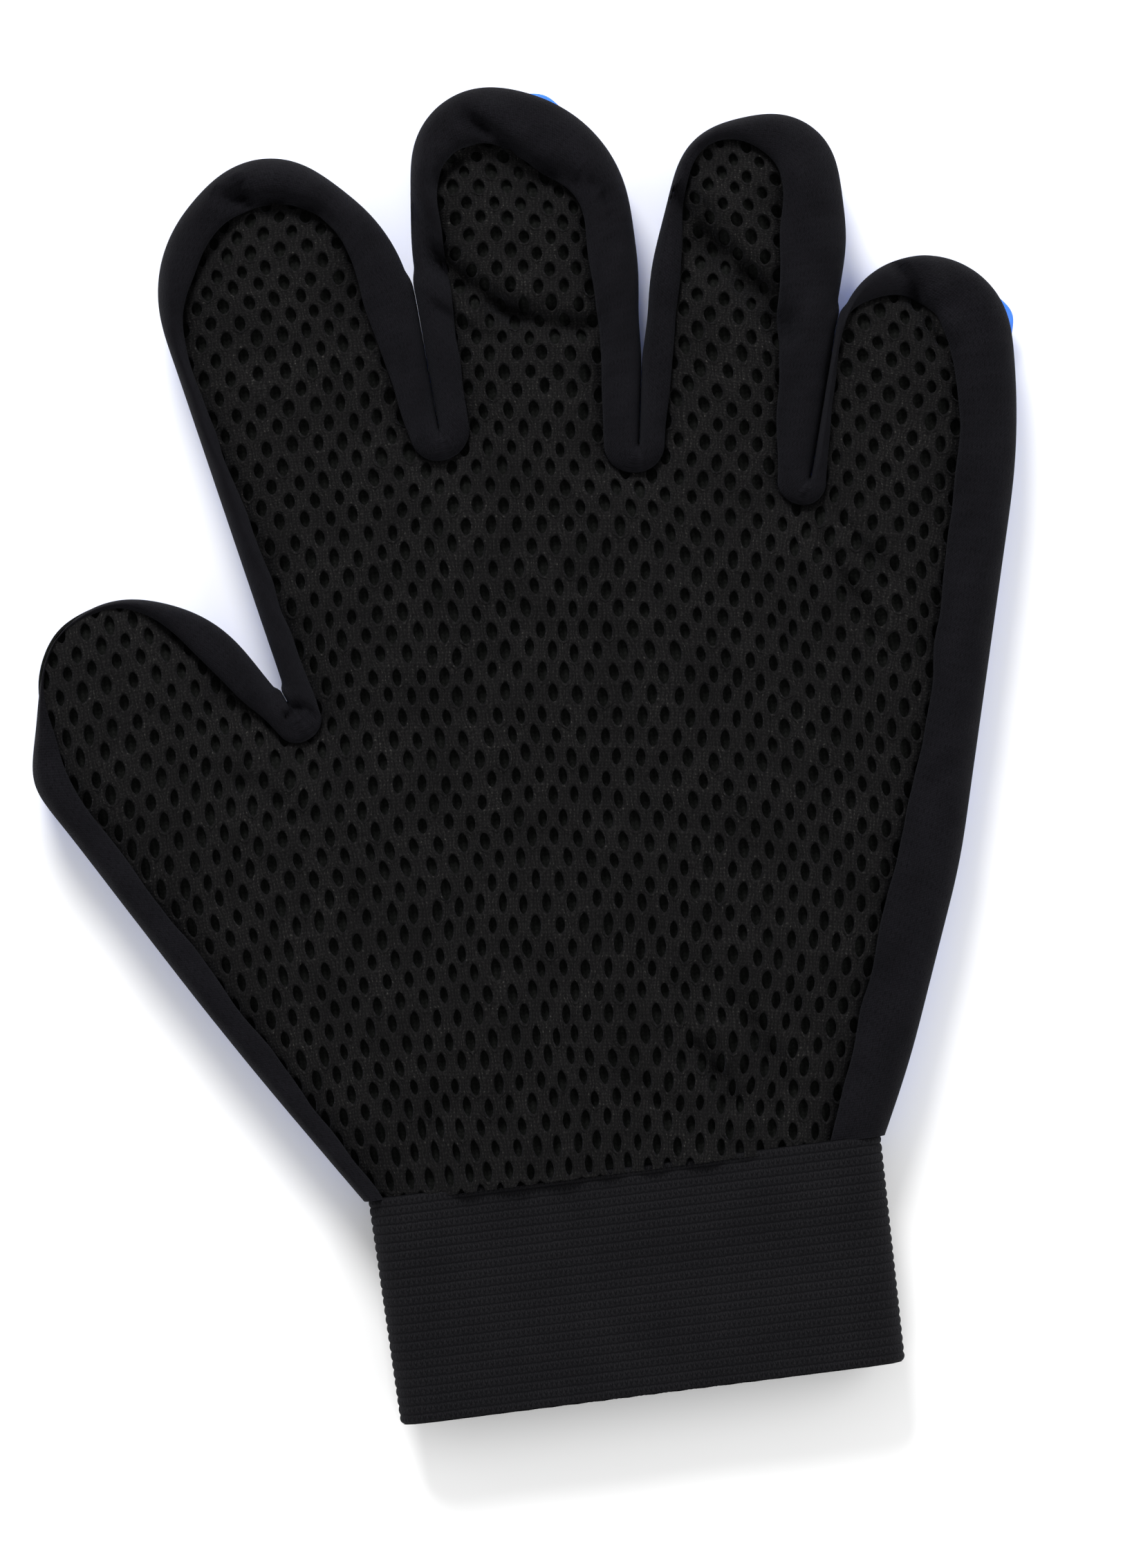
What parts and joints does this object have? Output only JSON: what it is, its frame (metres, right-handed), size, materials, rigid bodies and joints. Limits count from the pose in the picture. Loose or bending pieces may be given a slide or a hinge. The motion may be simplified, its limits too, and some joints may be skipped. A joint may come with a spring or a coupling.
{
  "type": "grooming glove",
  "caption": "Right-hand pet grooming glove: mesh back, knitted side strip, toothed rubber palm and a ribbed elastic cuff with a hook-and-loop tab.",
  "frame": {"origin": "centre of the footprint, on the surface that the palm's teeth stand on", "axes": "+Y from wrist to fingertips, +X towards the little finger, +Z out of the back of the hand"},
  "size_m": [0.1807, 0.2314, 0.0185],
  "materials": {
    "black_mesh": "matt spacer mesh",
    "side_knit": "matt knit",
    "palm_cloth": "matt",
    "blue_rubber": "satin",
    "elastic": "ribbed",
    "loop_pile": "brushed pile",
    "hook_plastic": "matt"
  },
  "bodies": {
    "hand": {"hand_back_mesh": "black_mesh", "hand_palm_cloth": "palm_cloth", "hand_rubber_pad": "blue_rubber", "thumb_side_strip": "side_knit", "thumb_web_strip": "side_knit", "index_web_strip": "side_knit", "middle_web_strip": "side_knit", "ring_web_strip": "side_knit", "little_side_strip": "side_knit", "cuff_band": "elastic", "loop_tape": "loop_pile"},
    "thumb": {"thumb_back_mesh": "black_mesh", "thumb_palm_cloth": "palm_cloth", "thumb_rubber_pad": "blue_rubber", "thumb_strip": "side_knit"},
    "index_base": {"index_base_back_mesh": "black_mesh", "index_base_palm_cloth": "palm_cloth", "index_base_rubber_pad": "blue_rubber", "index_base_strip_inner": "side_knit", "index_base_strip_outer": "side_knit"},
    "index_tip": {"index_tip_back_mesh": "black_mesh", "index_tip_palm_cloth": "palm_cloth", "index_tip_rubber_pad": "blue_rubber", "index_tip_strip": "side_knit"},
    "middle_base": {"middle_base_back_mesh": "black_mesh", "middle_base_palm_cloth": "palm_cloth", "middle_base_rubber_pad": "blue_rubber", "middle_base_strip_inner": "side_knit", "middle_base_strip_outer": "side_knit"},
    "middle_tip": {"middle_tip_back_mesh": "black_mesh", "middle_tip_palm_cloth": "palm_cloth", "middle_tip_rubber_pad": "blue_rubber", "middle_tip_strip": "side_knit"},
    "ring_base": {"ring_base_back_mesh": "black_mesh", "ring_base_palm_cloth": "palm_cloth", "ring_base_rubber_pad": "blue_rubber", "ring_base_strip_inner": "side_knit", "ring_base_strip_outer": "side_knit"},
    "ring_tip": {"ring_tip_back_mesh": "black_mesh", "ring_tip_palm_cloth": "palm_cloth", "ring_tip_rubber_pad": "blue_rubber", "ring_tip_strip": "side_knit"},
    "little_base": {"little_base_back_mesh": "black_mesh", "little_base_palm_cloth": "palm_cloth", "little_base_rubber_pad": "blue_rubber", "little_base_strip_inner": "side_knit", "little_base_strip_outer": "side_knit"},
    "little_tip": {"little_tip_back_mesh": "black_mesh", "little_tip_palm_cloth": "palm_cloth", "little_tip_rubber_pad": "blue_rubber", "little_tip_strip": "side_knit"},
    "tab": {"cuff_tab": "elastic", "hook_tape": "hook_plastic"}
  },
  "joints": [
    {"name": "thumb_bend", "type": "hinge", "parent": "hand", "child": "thumb", "pos_m": [-0.0645, 0.0032, 0.005], "axis": [-0.809, -0.5878, 0], "range_deg": [0, 55], "stiffness_Nm_per_rad": 0.02},
    {"name": "index_base_bend", "type": "hinge", "parent": "hand", "child": "index_base", "pos_m": [-0.0333, 0.0605, 0.005], "axis": [-0.9976, -0.0698, 0], "range_deg": [0, 55], "stiffness_Nm_per_rad": 0.02},
    {"name": "index_tip_bend", "type": "hinge", "parent": "index_base", "child": "index_tip", "pos_m": [-0.036, 0.0845, 0.005], "axis": [-0.9976, -0.0698, 0], "range_deg": [0, 55], "stiffness_Nm_per_rad": 0.02},
    {"name": "middle_base_bend", "type": "hinge", "parent": "hand", "child": "middle_base", "pos_m": [0.006, 0.0605, 0.005], "axis": [-0.9998, 0.0175, 0], "range_deg": [0, 55], "stiffness_Nm_per_rad": 0.02},
    {"name": "middle_tip_bend", "type": "hinge", "parent": "middle_base", "child": "middle_tip", "pos_m": [0.007, 0.0875, 0.005], "axis": [-0.9998, 0.0175, 0], "range_deg": [0, 55], "stiffness_Nm_per_rad": 0.02},
    {"name": "ring_base_bend", "type": "hinge", "parent": "hand", "child": "ring_base", "pos_m": [0.0383, 0.051, 0.005], "axis": [-0.9681, 0.2504, 0], "range_deg": [0, 55], "stiffness_Nm_per_rad": 0.02},
    {"name": "ring_tip_bend", "type": "hinge", "parent": "ring_base", "child": "ring_tip", "pos_m": [0.0458, 0.0785, 0.005], "axis": [-0.9681, 0.2504, 0], "range_deg": [0, 55], "stiffness_Nm_per_rad": 0.02},
    {"name": "little_base_bend", "type": "hinge", "parent": "hand", "child": "little_base", "pos_m": [0.07, 0.041, 0.005], "axis": [-0.9781, 0.2079, 0], "range_deg": [0, 55], "stiffness_Nm_per_rad": 0.02},
    {"name": "little_tip_bend", "type": "hinge", "parent": "little_base", "child": "little_tip", "pos_m": [0.074, 0.0605, 0.005], "axis": [-0.9781, 0.2079, 0], "range_deg": [0, 55], "stiffness_Nm_per_rad": 0.02},
    {"name": "tab_open", "type": "hinge", "parent": "hand", "child": "tab", "pos_m": [-0.033, -0.09585, 0.0052], "axis": [0, 1, 0], "range_deg": [0, 105]}
  ]
}
